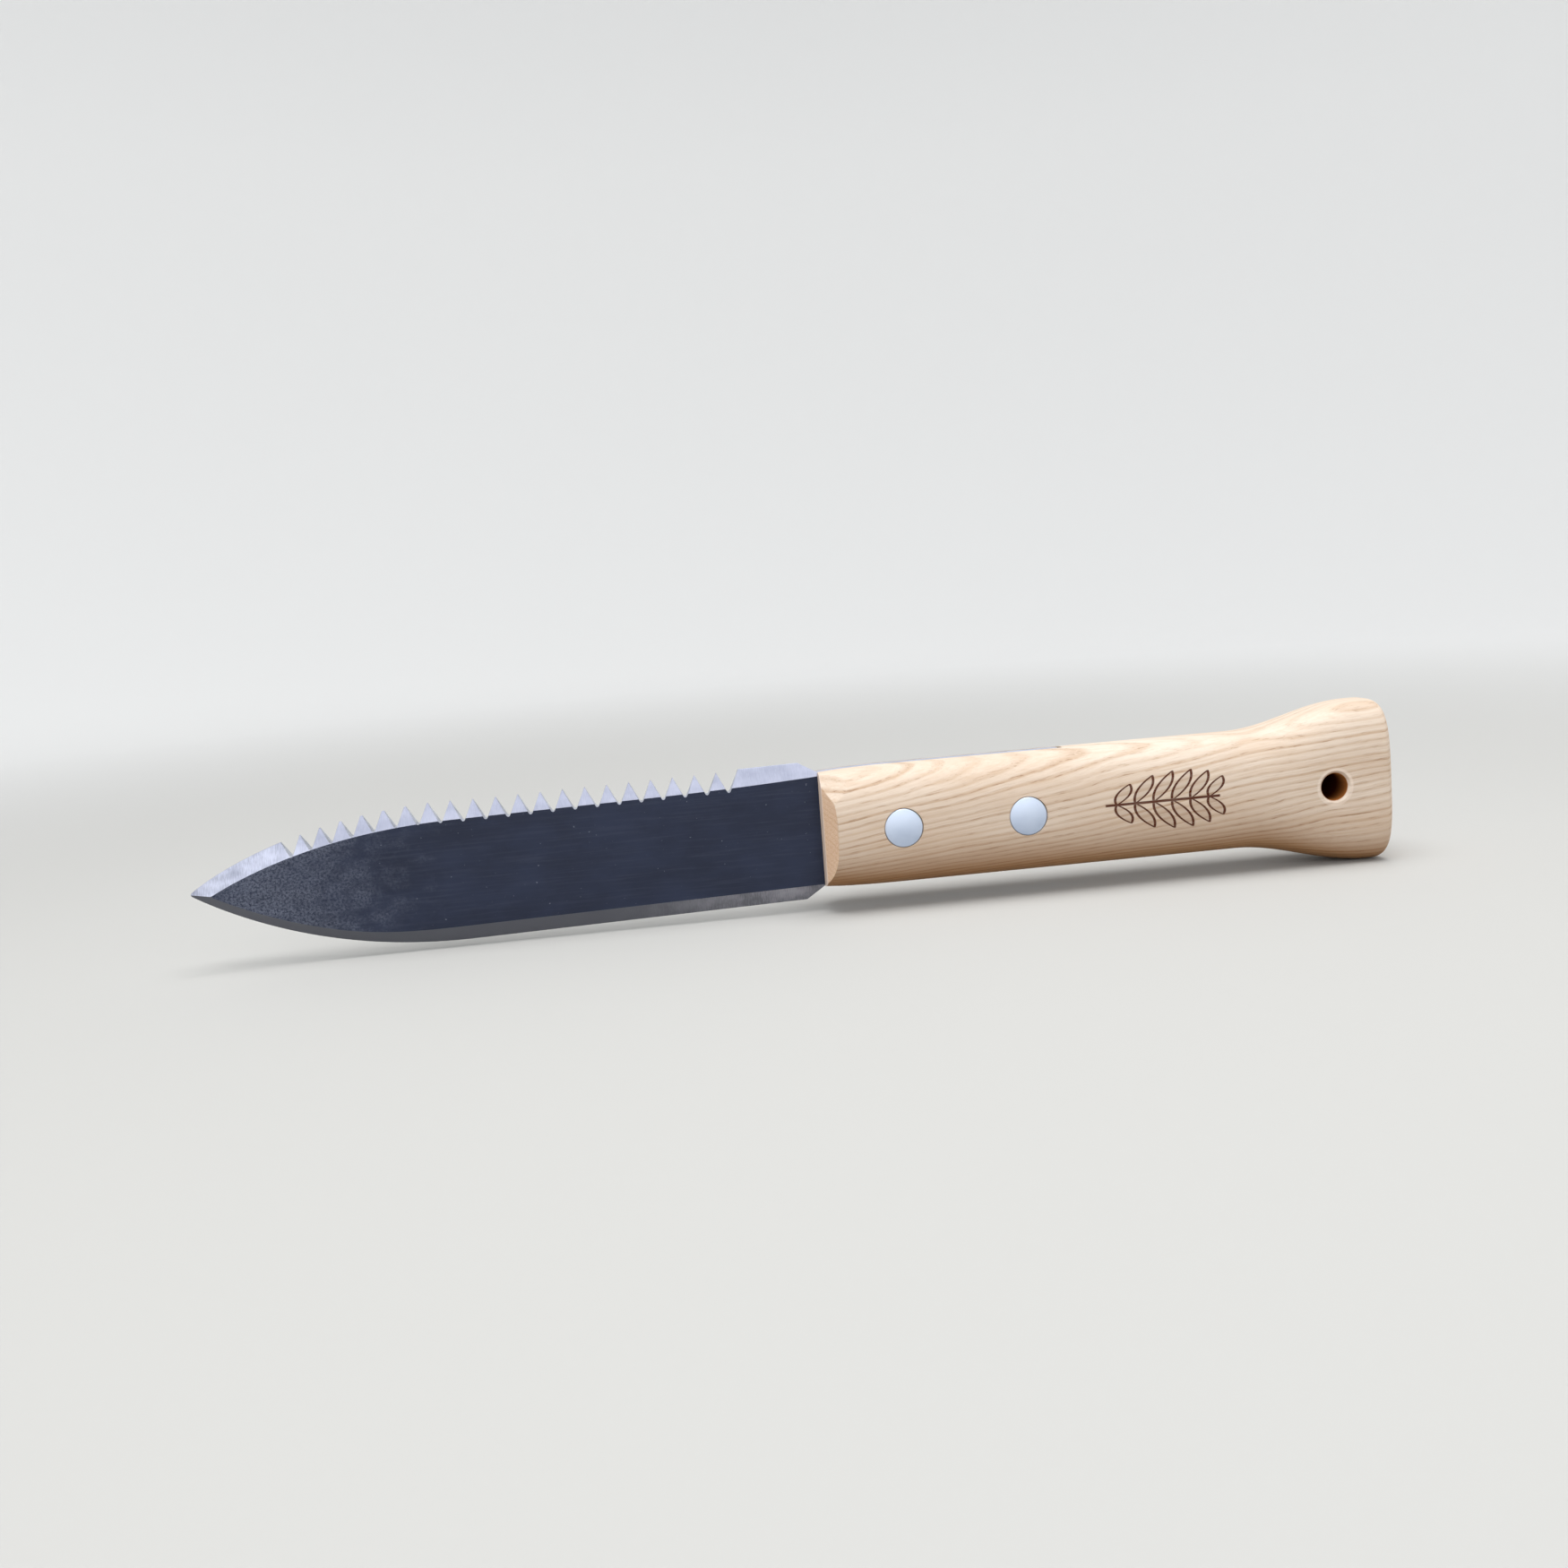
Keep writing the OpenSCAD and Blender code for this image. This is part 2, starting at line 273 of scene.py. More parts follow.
def carve(piece, tool, operation="DIFFERENCE"):
    """Cuts the tool out of the piece, or joins it on, and drops the tool."""
    modifier = piece.modifiers.new("carve", "BOOLEAN")
    modifier.operation = operation
    modifier.solver = "EXACT"
    modifier.object = tool
    graph = bpy.context.evaluated_depsgraph_get()
    mesh = bpy.data.meshes.new_from_object(piece.evaluated_get(graph))
    piece.modifiers.clear()
    piece.data = mesh
    bpy.data.objects.remove(tool)


def smooth_within(piece, degrees):
    """Shades faces as one surface where they meet at less than this angle."""
    limit = math.radians(degrees)
    shape = bmesh.new()
    shape.from_mesh(piece.data)
    for face in shape.faces:
        face.smooth = True
    for edge in shape.edges:
        edge.smooth = len(edge.link_faces) == 2 and edge.calc_face_angle() < limit
    shape.to_mesh(piece.data)
    shape.free()


def to_frame(piece):
    """From the knife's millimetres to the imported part's frame."""
    piece.data.transform(Matrix.Scale(MM, 4) @ Matrix.Translation((FRONT, 0, 0)))
    piece.data.update()


# ---- Blade ----

def blade_ring(x):
    """The plate's section at x: an edge and a bevel at top and bottom, with flats between them."""
    top, bottom = spine_z(x), belly_z(x)
    top_bevel, bottom_bevel = spine_ground(x), belly_ground(x)
    reach = min(1, (top - bottom - FLAT_MIN) / (top_bevel + bottom_bevel))
    edge = EDGE_THICKNESS / 2
    y = edge + (BLADE_THICKNESS / 2 - edge) * reach
    upper = top - top_bevel * reach
    lower = bottom + bottom_bevel * reach
    near = [(x, -edge, bottom), (x, -y, lower), (x, -y, upper), (x, -edge, top)]
    far = [(x, edge, top), (x, y, upper), (x, y, lower), (x, edge, bottom)]
    return near + far


def ground_plate():
    """The pointed plate with a bevel along each edge. Its rings stand closer together near the tip."""
    steps, first_step, crowding, heel_steps = 90, 3, 1.5, 18
    point = max(SPINE_POINT_LENGTH, BELLY_POINT_LENGTH)
    shares = [i / steps for i in range(first_step, steps + 1)]
    stations = [point * share ** crowding - BLADE_LENGTH for share in shares]
    stations += [-HEEL_BEVEL_RUN * (1 - i / heel_steps) for i in range(heel_steps + 1)]
    stations.append(GAP)
    first = (stations[0] - TIP_NOSE, 0, axis_z(-BLADE_LENGTH) + TIP_RISE)
    return loft("knife_blade", [blade_ring(x) for x in stations], first, (GAP, 0, 0))


def shoulder_cutter(side, edge):
    """Takes the corner off one side of the blade, at 45 degrees, where it enters the handle."""
    neck = grip_z(0) - TANG_INSET
    rise = abs(edge) - neck
    outline = [(0, neck), (-2 * SHOULDER, neck + 2 * rise), (OVER, neck + 2 * rise), (OVER, neck)]
    return prism("cutter", [(x, side * z) for x, z in outline], -BLADE_THICKNESS, BLADE_THICKNESS)


def spine_slope(x):
    """The saw edge's slope at x, as an angle, taken over one millimetre."""
    half = 0.5
    return math.atan(spine_z(x + half) - spine_z(x - half))


def notch_places():
    """The notches step along the saw edge towards the tip, and close up as it curves."""
    x = -FIRST_NOTCH
    for _ in range(NOTCH_COUNT):
        yield x
        x -= NOTCH_PITCH * math.cos(spine_slope(x)) ** NOTCH_CROWDING


def notch_cutter(x):
    """A V with a round bottom, leaning with the edge."""
    steps = 16
    height = NOTCH_DEPTH + OVER
    low = -NOTCH_ROOT_R * math.sin(NOTCH_HALF_ANGLE)
    mouth = NOTCH_ROOT_R * math.cos(NOTCH_HALF_ANGLE) + height * math.tan(NOTCH_HALF_ANGLE)
    turn = math.pi - 2 * NOTCH_HALF_ANGLE
    outline = [(-mouth, low + height)]
    for i in range(steps + 1):
        a = math.pi + NOTCH_HALF_ANGLE + turn * i / steps
        outline.append((NOTCH_ROOT_R * math.cos(a), NOTCH_ROOT_R * math.sin(a)))
    outline.append((mouth, low + height))
    loss = NOTCH_LOSS * ease(1 - (x + BLADE_LENGTH - NOTCH_LOSS_START) / NOTCH_LOSS_RUN)
    centre = spine_z(x) - NOTCH_DEPTH * (1 - loss) + NOTCH_ROOT_R
    lean = BLADE_LEAN + (spine_slope(x) - BLADE_LEAN) * NOTCH_TURN
    c, s = math.cos(lean), math.sin(lean)
    placed = [(x + u * c - v * s, centre + u * s + v * c) for u, v in outline]
    return prism("cutter", placed, -BLADE_THICKNESS, BLADE_THICKNESS)


def tang():
    """The full-height tang, which follows the handle's top and bottom."""
    steps = 24
    stations = [NOSE_RUN * i / steps for i in range(steps + 1)] + [TANG_LENGTH]
    top = [(x, grip_z(x) - TANG_INSET) for x in stations]
    bottom = [(x, -z) for x, z in reversed(top)]
    return prism("tang", top + bottom, -BLADE_THICKNESS / 2, BLADE_THICKNESS / 2)


def finish_faces(piece):
    """Gives each face of the blade its finish, by how squarely it faces across the plate."""
    flat, bevel = 0.995, 0.5
    scale, saw_bevel, digging_bevel, cut, tang_edge = range(5)
    for face in piece.data.polygons:
        across, up = abs(face.normal.y), face.normal.z
        if across > flat:
            face.material_index = scale
        elif across > bevel:
            face.material_index = saw_bevel if up > 0 else digging_bevel
        else:
            face.material_index = tang_edge if face.center.x > FRONT * MM else cut


def blade():
    """Plate, shoulders, notches and tang, which are one piece of steel."""
    piece = ground_plate()
    carve(piece, shoulder_cutter(1, spine_z(-SHOULDER)))
    carve(piece, shoulder_cutter(-1, belly_z(-SHOULDER)))
    for x in notch_places():
        carve(piece, notch_cutter(x))
    carve(piece, tang(), "UNION")
    for x in RIVETS.values():
        carve(piece, bore(x, TUBE_R + GAP, -BLADE_THICKNESS, BLADE_THICKNESS))
    smooth_within(piece, 12)
    to_frame(piece)
    for steel in (scale_steel, saw_bevel_steel, digging_bevel_steel, cut_steel, tang_steel):
        piece.data.materials.append(steel())
    finish_faces(piece)
    return piece


# ---- Handle ----

def bore(x, radius, y1, y2, end_radius=None):
    """A round cutter along Y, straight or conical."""
    end = radius if end_radius is None else end_radius
    return lathe("cutter", x, [(0, y1), (radius, y1), (end, y2), (0, y2)])


def drawn_in(x, radius):
    """How far a rounding at the butt has drawn the surface in at x."""
    t = max(0, (x - HANDLE_LENGTH) / radius + 1)
    return radius * (1 - math.sqrt(max(0, 1 - t * t)))


def boxy(half, c, power):
    """Point of a boxy ellipse, where c is the cosine or the sine."""
    return math.copysign(half * abs(c) ** (2 / power), c)


def handle_ring(x, steps=176):
    """The handle's section at x, which gets boxier through the flare and slants with the butt."""
    half_y = SIDE - drawn_in(x, BUTT_EDGE)
    top = grip_z(x) - drawn_in(x, BUTT_CORNER_TOP)
    bottom = grip_z(x) - drawn_in(x, BUTT_CORNER_BOTTOM)
    share = ease((x - FLARE_START) / (HANDLE_LENGTH - FLARE_START))
    power = SECTION_POWER + (BUTT_POWER - SECTION_POWER) * share
    ring = []
    for k in range(steps):
        a = -2 * math.pi * k / steps
        y = boxy(half_y, math.cos(a), power)
        z = boxy(bottom if k < steps / 2 else top, math.sin(a), power)
        ring.append((x - share * z * math.tan(BUTT_SLANT), y, z))
    return ring


def handle_body():
    steps = 180
    corner = max(BUTT_CORNER_TOP, BUTT_CORNER_BOTTOM)
    start = HANDLE_LENGTH - corner
    stations = [start * i / steps for i in range(steps)]
    stations += [start + corner * math.sin(math.radians(a)) for a in range(0, 91, 5)]
    rings = [handle_ring(x) for x in stations]
    return loft("knife_handle", rings, (0, 0, 0), (HANDLE_LENGTH, 0, 0))


def nose_cutter(side):
    """Slants the front corner of one side."""
    run, depth = NOSE_CHAMFER_LENGTH, NOSE_CHAMFER_DEPTH
    outline = [(-run, SIDE - 2 * depth), (2 * run, SIDE + depth), (-run, SIDE + depth)]
    points = [(x, side * y, z) for z in (-BUTT_HALF, BUTT_HALF) for x, y in outline]
    faces = [(0, 1, 2), (5, 4, 3), (0, 3, 4, 1), (1, 4, 5, 2), (2, 5, 3, 0)]
    return facing_out(solid("cutter", points, faces))


def nose_flat_cutter(side):
    """Takes the front's upper corner off one side with a flat that runs out along the handle."""
    size = SIDE
    corners = [(x, y, z) for x in (-size, 2 * size) for y in (0, size) for z in (-size, size)]
    faces = [(0, 1, 3, 2), (4, 6, 7, 5), (0, 4, 5, 1), (2, 3, 7, 6), (0, 2, 6, 4), (1, 5, 7, 3)]
    cutter = solid("cutter", corners, faces)
    slope = Matrix.Rotation(NOSE_FLAT_SLOPE, 4, "Z")
    out = Matrix.Translation((0, NOSE_FLAT_REACH, 0))
    turn = Matrix.Rotation(NOSE_FLAT_TURN, 4, "X")
    mirror = Matrix.Diagonal((1, side, 1, 1))
    cutter.data.transform(mirror @ turn @ out @ slope)
    return facing_out(cutter)


def handle():
    """One block of wood, slotted for the tang and bored for the rivets and the hang hole."""
    piece = handle_body()
    for side in (-1, 1):
        carve(piece, nose_cutter(side))
        carve(piece, nose_flat_cutter(side))
    slot_half = BLADE_THICKNESS / 2 + GAP
    slot_end = TANG_LENGTH + OVER
    slot = [(-OVER, -BUTT_HALF), (slot_end, -BUTT_HALF), (slot_end, BUTT_HALF), (-OVER, BUTT_HALF)]
    carve(piece, prism("cutter", slot, -slot_half, slot_half))
    beyond = SIDE + OVER
    for x in RIVETS.values():
        carve(piece, bore(x, TUBE_R + GAP, -beyond, beyond))
        carve(piece, bore(x, HEAD_R + HEAD_GAP, HEAD_SEAT, beyond))
        carve(piece, bore(x, HEAD_R + HEAD_GAP, -beyond, -HEAD_SEAT))
    carve(piece, bore(HANG_X, HANG_R, -beyond, beyond))
    mouth = SIDE - HANG_CHAMFER
    wide = HANG_R + HANG_CHAMFER + OVER
    carve(piece, bore(HANG_X, HANG_R, mouth, beyond, wide))
    carve(piece, bore(HANG_X, wide, -beyond, -mouth, HANG_R))
    smooth_within(piece, 22)
    to_frame(piece)
    piece.data.materials.append(ash_wood())
    return piece


# ---- Rivets ----

def head_profile(side):
    """From the middle of the domed head, round its softened rim and down to its seat."""
    dome_r = (HEAD_R ** 2 + HEAD_DOME ** 2) / (2 * HEAD_DOME)
    rim = 0.35
    top = HEAD_SEAT + HEAD_H + HEAD_DOME
    flat_r = HEAD_R - rim
    steps = 14
    profile = []
    for i in range(steps + 1):
        radius = flat_r * i / steps
        profile.append((radius, top - dome_r + math.sqrt(dome_r ** 2 - radius ** 2)))
    edge_y = profile[-1][1]
    for i in range(1, 7):
        a = math.radians(15 * i)
        profile.append((flat_r + rim * math.sin(a), edge_y - rim * (1 - math.cos(a))))
    profile.append((HEAD_R, HEAD_SEAT))
    return [(radius, side * y) for radius, y in profile]


def rivet_stem(place):
    """The half with the solid shank. Its head is on the far side."""
    reach = HEAD_SEAT - TUBE_WEB - RIVET_PLAY
    soft = 0.3
    shank = [(STEM_R, HEAD_SEAT), (STEM_R, -reach + soft), (STEM_R - soft, -reach), (0, -reach)]
    return rivet(place + "_stem_half", RIVETS[place], head_profile(1) + shank)


def rivet_tube(place):
    """The half with the hollow shank. Its head is on the near side."""
    reach = HEAD_SEAT - RIVET_PLAY
    floor = -HEAD_SEAT + TUBE_WEB
    bore_r = STEM_R + GAP
    shank = [(TUBE_R, -HEAD_SEAT), (TUBE_R, reach), (bore_r, reach), (bore_r, floor), (0, floor)]
    return rivet(place + "_tube_half", RIVETS[place], head_profile(-1) + shank)


def rivet(name, x, profile):
    piece = lathe(name, x, profile)
    smooth_within(piece, 30)
    to_frame(piece)
    piece.data.materials.append(rivet_aluminium())
    return piece


# ---- Materials ----

class Finish:
    """A material written as expressions: each method adds a node and gives back its output."""

    def __init__(self, name):
        self.material = bpy.data.materials.new(name)
        self.material.use_nodes = True
        self.tree = self.material.node_tree
        self.tree.nodes.clear()
        place = self.node("ShaderNodeTexCoord").outputs["Object"]
        in_mm = self.vector("MULTIPLY", place, (1 / MM,) * 3)
        self.place = self.vector("SUBTRACT", in_mm, (FRONT, 0, 0))
        split = self.node("ShaderNodeSeparateXYZ")
        self.feed(self.place, split.inputs[0])
        self.x, self.y, self.z = split.outputs

    def node(self, kind, **settings):
        made = self.tree.nodes.new(kind)
        for key, value in settings.items():
            setattr(made, key, value)
        return made

    def feed(self, value, socket):
        if isinstance(value, bpy.types.NodeSocket):
            self.tree.links.new(value, socket)
        else:
            socket.default_value = value

    def vector(self, operation, a, b):
        made = self.node("ShaderNodeVectorMath", operation=operation)
        self.feed(a, made.inputs[0])
        self.feed(b, made.inputs[1])
        return made.outputs[0]

    def math(self, operation, a, b=0.0):
        made = self.node("ShaderNodeMath", operation=operation)
        self.feed(a, made.inputs[0])
        self.feed(b, made.inputs[1])
        return made.outputs[0]

    def add(self, a, b):
        return self.math("ADD", a, b)

    def times(self, a, b):
        return self.math("MULTIPLY", a, b)

    def less(self, a, b):
        return self.math("SUBTRACT", a, b)

    def facing(self):
        """The three parts of the surface's true normal."""
        split = self.node("ShaderNodeSeparateXYZ")
        self.feed(self.node("ShaderNodeNewGeometry").outputs["Normal"], split.inputs[0])
        return split.outputs

    def step(self, value, low, high):
        """Runs smoothly from 0 where value is low to 1 where it is high."""
        made = self.node("ShaderNodeMapRange", interpolation_type="SMOOTHSTEP")
        for item, socket in zip((value, low, high, 0.0, 1.0), made.inputs[:5]):
            self.feed(item, socket)
        return made.outputs[0]

    def band(self, value, half, soft):
        """1 where the value is within half of zero, with soft edges."""
        return self.step(self.math("ABSOLUTE", value), half + soft, half - soft)

    def noise(self, frequency, detail=3.0, roughness=0.5, offset=0.0, place=None):
        """Noise with its own frequency along each axis, in waves per millimetre.

        The offset moves it to a place of its own, so that no two noises run alike.
        """
        stretched = self.vector("MULTIPLY", self.place if place is None else place, frequency)
        moved = self.vector("ADD", stretched, (offset, offset * 0.7, offset * 1.3))
        made = self.node("ShaderNodeTexNoise")
        self.feed(moved, made.inputs["Vector"])
        made.inputs["Scale"].default_value = 1.0
        made.inputs["Detail"].default_value = detail
        made.inputs["Roughness"].default_value = roughness
        return made.outputs["Fac"]

    def mix(self, factor, a, b, blend="MIX"):
        made = self.node("ShaderNodeMix", data_type="RGBA", blend_type=blend)
        self.feed(factor, made.inputs[0])
        self.feed(a, made.inputs[6])
        self.feed(b, made.inputs[7])
        return made.outputs[2]

    def bump(self, height, strength, distance, normal=None):
        """Height in shares of the distance, which is in millimetres."""
        made = self.node("ShaderNodeBump")
        made.inputs["Strength"].default_value = strength
        made.inputs["Distance"].default_value = distance * MM
        self.feed(height, made.inputs["Height"])
        if normal is not None:
            self.feed(normal, made.inputs["Normal"])
        return made.outputs[0]

    def soft_edges(self, radius):
        made = self.node("ShaderNodeBevel", samples=6)
        made.inputs["Radius"].default_value = radius * MM
        return made.outputs[0]

    def surface(self, **inputs):
        shader = self.node("ShaderNodeBsdfPrincipled")
        for key, value in inputs.items():
            self.feed(value, shader.inputs[key.replace("_", " ")])
        output = self.node("ShaderNodeOutputMaterial")
        self.tree.links.new(shader.outputs[0], output.inputs[0])
        return self.material


def colour(red, green, blue):
    """A colour given as it looks on a screen, from 0 to 255."""
    def linear(value):
        v = value / 255
        return v / 12.92 if v <= 0.04045 else ((v + 0.055) / 1.055) ** 2.4
    return (linear(red), linear(green), linear(blue), 1.0)


def scale_steel():
    """The dark, blued skin of the flats, rubbed lighter in a ragged area behind the tip."""
    rub_from, rub_full, raggedness = -100.0, -148.0, 60.0
    tip_fade_from, tip_fade_full = -146.0, -157.0

    f = Finish("scale_steel")
    cloud = f.noise((0.05, 0.05, 0.09), 5.0, 0.6)
    mottle = f.noise((1.5, 1.5, 1.6), 6.0, 0.72, offset=11.0)
    patch = f.noise((0.22, 0.22, 0.3), 4.0, 0.6, offset=71.0)
    streak = f.noise((0.06, 0.5, 1.6), 4.0, 0.6, offset=23.0)
    speck = f.noise((1.1, 1.1, 1.1), 2.0, 0.5, offset=37.0)
    pit = f.noise((2.6, 2.6, 2.6), 3.0, 0.6, offset=51.0)

    ragged_x = f.add(f.x, f.times(f.less(patch, 0.5), raggedness))
    to_tip = f.step(ragged_x, rub_from, rub_full)
    behind_tip = f.add(0.4, f.times(f.step(f.x, tip_fade_full, tip_fade_from), 0.65))
    rubbed = f.times(f.times(to_tip, behind_tip), f.step(mottle, 0.36, 0.62))
    flecks = f.step(speck, 0.7, 0.75)

    base = f.mix(f.step(cloud, 0.3, 0.7), colour(20, 28, 50), colour(29, 38, 62))
    base = f.mix(f.times(f.step(streak, 0.45, 0.8), 0.35), base, colour(56, 62, 80))
    base = f.mix(f.times(rubbed, 0.66), base, colour(118, 123, 139))
    base = f.mix(f.times(flecks, 0.3), base, colour(150, 154, 168))
    metal = f.add(0.12, f.times(rubbed, 0.5))
    rough = f.add(0.42, f.times(mottle, 0.16))
    height = f.add(f.times(pit, 0.6), f.times(mottle, 0.4))
    normal = f.bump(height, 0.35, 0.05, f.soft_edges(0.12))
    return f.surface(Base_Color=base, Metallic=metal, Roughness=rough,
                     Specular_IOR_Level=0.38, Normal=normal)


def ground_steel(f, tone, dark, rough_base, line_depth=0.3):
    """Freshly ground steel with fine lines across the bevel."""
    lines = f.noise((7.0, 1.0, 0.5), 4.0, 0.65, offset=3.0)
    broad = f.noise((0.16, 0.3, 0.25), 3.0, 0.5, offset=17.0)
    shade = f.add(f.times(lines, 0.5), f.times(broad, 0.5))
    base = f.mix(f.step(shade, 0.3, 0.68), dark, tone)
    rough = f.add(rough_base, f.times(lines, 0.16))
    normal = f.bump(lines, line_depth, 0.02, f.soft_edges(0.1))
    return f.surface(Base_Color=base, Metallic=1.0, Roughness=rough, Normal=normal)


def saw_bevel_steel():
    """Brighter towards the tip."""
    f = Finish("saw_bevel_steel")
    tone = f.mix(f.step(f.x, -118.0, -152.0), colour(180, 182, 199), colour(222, 225, 243))
    return ground_steel(f, tone, colour(156, 159, 177), 0.32)


def digging_bevel_steel():
    """Duller than the saw edge's bevel, and darker away from the handle. Its darker colour is painted
    shade, for the bevel that faces down.
    """
    f = Finish("digging_bevel_steel")
    # Painted shade: a darker steel colour for the bevel that faces down.
    tone = f.mix(f.step(f.x, 0.0, -62.0), colour(170, 169, 178), colour(106, 108, 115))
    return ground_steel(f, tone, colour(104, 105, 113), 0.4, 0.15)


def cut_steel():
    """The floors and flanks of the notches, and the shoulders."""
    return ground_steel(Finish("cut_steel"), colour(214, 218, 230), colour(150, 153, 164), 0.34)


def tang_steel():
    """The tang's bare edge, sanded along with the wood."""
    return ground_steel(Finish("tang_steel"), colour(198, 202, 214), colour(168, 172, 186), 0.62)


def rivet_aluminium():
    """Satin aluminium with a fine brushing and a few small marks, and a painted reflection: paler on faces
    turned up, darker on faces turned down.
    """
    f = Finish("rivet_aluminium")
    brush = f.noise((0.5, 0.5, 6.0), 4.0, 0.6, offset=5.0)
    cloud = f.noise((0.2, 0.2, 0.3), 2.0, 0.4, offset=29.0)
    marks = f.step(f.noise((1.3, 1.3, 1.5), 2.0, 0.5, offset=43.0), 0.68, 0.76)
    # Painted reflection: the head is paler where it faces up and darker where it faces down.
    painted_reflection = f.step(f.facing()[2], -0.2, 0.17)
    base = f.mix(painted_reflection, colour(172, 185, 207), colour(218, 229, 248))
    base = f.mix(f.times(f.step(cloud, 0.3, 0.7), 0.2), base, colour(226, 235, 250))
    base = f.mix(f.times(marks, 0.25), base, colour(178, 188, 206))
    rough = f.add(0.38, f.times(brush, 0.14))
    normal = f.bump(brush, 0.22, 0.02, f.soft_edges(0.1))
    return f.surface(Base_Color=base, Metallic=0.85, Roughness=rough, Normal=normal)


def growth_rings(f):
    """Rings about a pith that lies below the handle, towards its far side, and rises along it.

    Gives the strength of each ring's dark porous line, and a place that follows the grain.
    """
    pith_y, pith_z, slope, spacing = 34.0, -62.0, 0.125, 1.35
    widest_wander, widest_ripple = 9.0, 0.9
    faintest = 0.35
    wander = f.less(f.noise((0.009, 0.025, 0.025), 2.0, 0.5, offset=7.0), 0.5)
    ripple = f.less(f.noise((0.05, 0.12, 0.12), 2.0, 0.5, offset=19.0), 0.5)
    rise = f.times(f.x, slope)
    up = f.less(f.less(f.z, pith_z), rise)
    across = f.less(f.y, pith_y)
    radius = f.math("SQRT", f.add(f.times(up, up), f.times(across, across)))
    bent = f.add(f.add(radius, f.times(wander, widest_wander)), f.times(ripple, widest_ripple))
    count = f.math("DIVIDE", bent, spacing)
    share = f.math("FRACT", count)
    ring = f.node("ShaderNodeTexWhiteNoise", noise_dimensions="1D")
    f.feed(f.math("FLOOR", count), ring.inputs["W"])
    strength = f.add(faintest, f.times(ring.outputs["Value"], 1.0 - faintest))
    line = f.times(f.step(share, 0.0, 0.2), f.step(share, 0.62, 0.22))
    along = f.node("ShaderNodeCombineXYZ")
    for value, socket in zip((f.x, f.y, bent), along.inputs):
        f.feed(value, socket)
    return f.times(line, strength), along.outputs[0]


def leaf_mark(f):
    """A burnt sprig of paired leaves on the near side: 1 on its lines, and faint inside its leaves."""
    pitch, lean = 5.0, 0.75
    shortest, longer, leaf_half = 1.6, 5.9, 1.75
    bare_stem, rim_half, stem_half, fill = 2.4, 0.36, 0.34, 0.16
    many_leaves = 60 * pitch

    along = f.less(f.x, MARK_X)
    height = f.less(f.z, MARK_Z)
    away = f.math("ABSOLUTE", height)
    leaned = f.less(along, f.times(away, lean))
    cell = f.math("FRACT", f.math("DIVIDE", f.add(leaned, many_leaves), pitch))
    from_middle = f.times(f.less(cell, 0.5), pitch)
    foot = f.less(leaned, from_middle)
    reach = f.math("DIVIDE", foot, MARK_HALF)
    taper = f.math("SQRT", f.math("MAXIMUM", f.less(1.0, f.times(reach, reach)), 0.0))
    progress = f.math("DIVIDE", away, f.add(shortest, f.times(taper, longer)))
    belly = f.times(f.times(progress, f.less(1.0, progress)), 4.0)
    from_rim = f.less(f.math("ABSOLUTE", from_middle), f.times(belly, leaf_half))

    inside = f.times(f.step(progress, 1.04, 1.0), f.step(progress, 0.02, 0.06))
    near_stem = f.band(foot, MARK_HALF - bare_stem, 0.2)
    rim = f.times(f.times(f.band(from_rim, rim_half, 0.1), inside), near_stem)
    filled = f.times(f.times(f.step(from_rim, 0.1, -0.1), inside), near_stem)
    stem = f.times(f.band(height, stem_half, 0.08), f.band(along, MARK_HALF, 0.2))
    lines = f.math("MAXIMUM", f.math("MAXIMUM", rim, f.times(filled, fill)), stem)
    near_side = f.step(f.y, -1.0, -2.0)
    return f.times(lines, near_side)


def ash_figure(f):
    """(colour, roughness, relief, fine fibres) of the growth lines, their pores and the fibres."""
    line, grain = growth_rings(f)
    fibre = f.noise((0.03, 1.0, 2.6), 5.0, 0.62, offset=31.0, place=grain)
    fine = f.noise((0.08, 3.0, 8.0), 3.0, 0.6, offset=41.0, place=grain)
    cloud = f.noise((0.02, 0.08, 0.08), 3.0, 0.5, offset=53.0)
    pore = f.noise((0.22, 3.0, 6.5), 2.0, 0.5, offset=61.0, place=grain)
    pores = f.times(f.step(pore, 0.55, 0.68), f.add(0.2, f.times(line, 1.1)))

    base = f.mix(f.step(cloud, 0.3, 0.7), colour(205, 185, 166), colour(213, 197, 181))
    base = f.mix(f.times(line, 0.66), base, colour(170, 136, 105))
    base = f.mix(f.times(f.step(fibre, 0.38, 0.7), 0.36), base, colour(190, 159, 128))
    base = f.mix(f.times(f.step(fine, 0.5, 0.8), 0.2), base, colour(236, 222, 207))
    base = f.mix(f.times(pores, 0.6), base, colour(144, 108, 76))

    rough = f.add(f.add(0.46, f.times(fibre, 0.1)), f.times(line, 0.08))
    height = f.add(f.times(fibre, 0.35), f.times(fine, 0.25))
    height = f.less(height, f.add(f.times(pores, 0.7), f.times(line, 0.25)))
    return base, rough, height, fine


def painted_light_and_end_grain(f, base, fine):
    """Painted shade underneath, warmer and darker, and a painted highlight on top, paler; with end grain on
    the nose and the butt.
    """
    toward_x, _, toward_z = f.facing()
    # Painted shade on faces turned down and a painted highlight on faces turned up, chosen by which way
    # each face points.
    below = f.step(toward_z, 0.15, -0.85)
    above = f.step(toward_z, 0.5, 1.0)
    base = f.mix(f.times(below, 0.88), base, colour(171, 128, 66), "MULTIPLY")
    base = f.mix(f.times(above, 0.14), base, colour(236, 226, 212))

    on_chamfer = f.times(f.step(toward_x, -0.35, -0.7), f.step(f.x, 3.6, 2.6))
    on_butt = f.step(toward_x, 0.55, 0.9)
    end_grain = f.mix(f.step(fine, 0.36, 0.64), colour(214, 165, 125), colour(238, 203, 171))
    base = f.mix(f.times(f.math("MAXIMUM", on_chamfer, on_butt), 0.62), base, end_grain)
    front_face = f.step(f.x, 0.25, 0.08)
    return f.mix(f.times(front_face, 0.75), base, colour(228, 208, 194))


